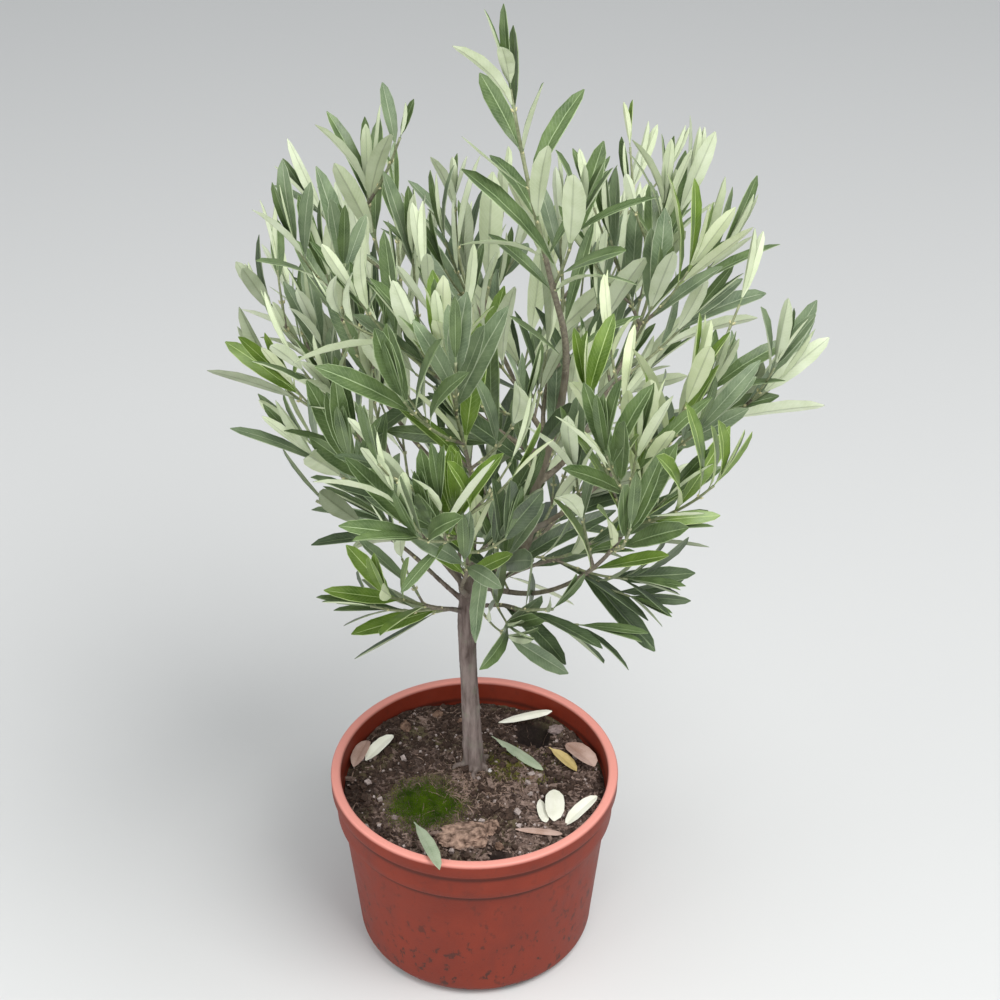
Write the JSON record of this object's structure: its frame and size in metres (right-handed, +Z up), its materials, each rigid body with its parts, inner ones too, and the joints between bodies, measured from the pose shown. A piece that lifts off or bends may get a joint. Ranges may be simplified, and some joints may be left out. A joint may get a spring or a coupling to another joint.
{
  "type": "potted olive tree",
  "caption": "Young olive tree with a short clear trunk and a full crown of narrow leaves, growing in a round plastic nursery pot with a stepped rim, filled with compost.",
  "frame": {"origin": "centre of the pot's flat underside", "axes": "+Z up along the tree, -Y towards the side that the picture looks at, +X to that side's right"},
  "size_m": [0.4262, 0.413, 0.7633],
  "materials": {
    "pot": "matte moulded plastic, terracotta coloured",
    "compost": "loose, damp, crumbly",
    "bark": "grey-brown, finely fissured",
    "foliage": "leathery grey-green leaves with silvery undersides"
  },
  "bodies": {
    "root": {"pot": "pot", "soil": "compost", "trunk": "bark", "leader": "bark", "bough_front_right": "bark", "bough_right": "bark", "bough_high_right": "bark", "bough_upper_left": "bark", "bough_high_left": "bark", "bough_left": "bark", "bough_front_middle": "bark", "bough_front": "bark", "bough_low_front_left": "bark", "bough_low_front_right": "bark", "bough_low_right": "bark", "bough_low_left": "bark", "bough_high_back": "bark", "bough_back": "bark", "bough_back_left": "bark", "bough_back_right": "bark", "bough_high_back_right": "bark", "bough_low_back": "bark", "bough_low_back_right": "bark", "bough_far_left": "bark", "foliage_top": "foliage", "foliage_front_right": "foliage", "foliage_right": "foliage", "foliage_high_right": "foliage", "foliage_upper_left": "foliage", "foliage_high_left": "foliage", "foliage_left": "foliage", "foliage_front_middle": "foliage", "foliage_front": "foliage", "foliage_low_front_left": "foliage", "foliage_low_front_right": "foliage", "foliage_low_right": "foliage", "foliage_low_left": "foliage", "foliage_high_back": "foliage", "foliage_back": "foliage", "foliage_back_left": "foliage", "foliage_back_right": "foliage", "foliage_high_back_right": "foliage", "foliage_low_back": "foliage", "foliage_low_back_right": "foliage", "foliage_far_left": "foliage"}
  },
  "joints": []
}
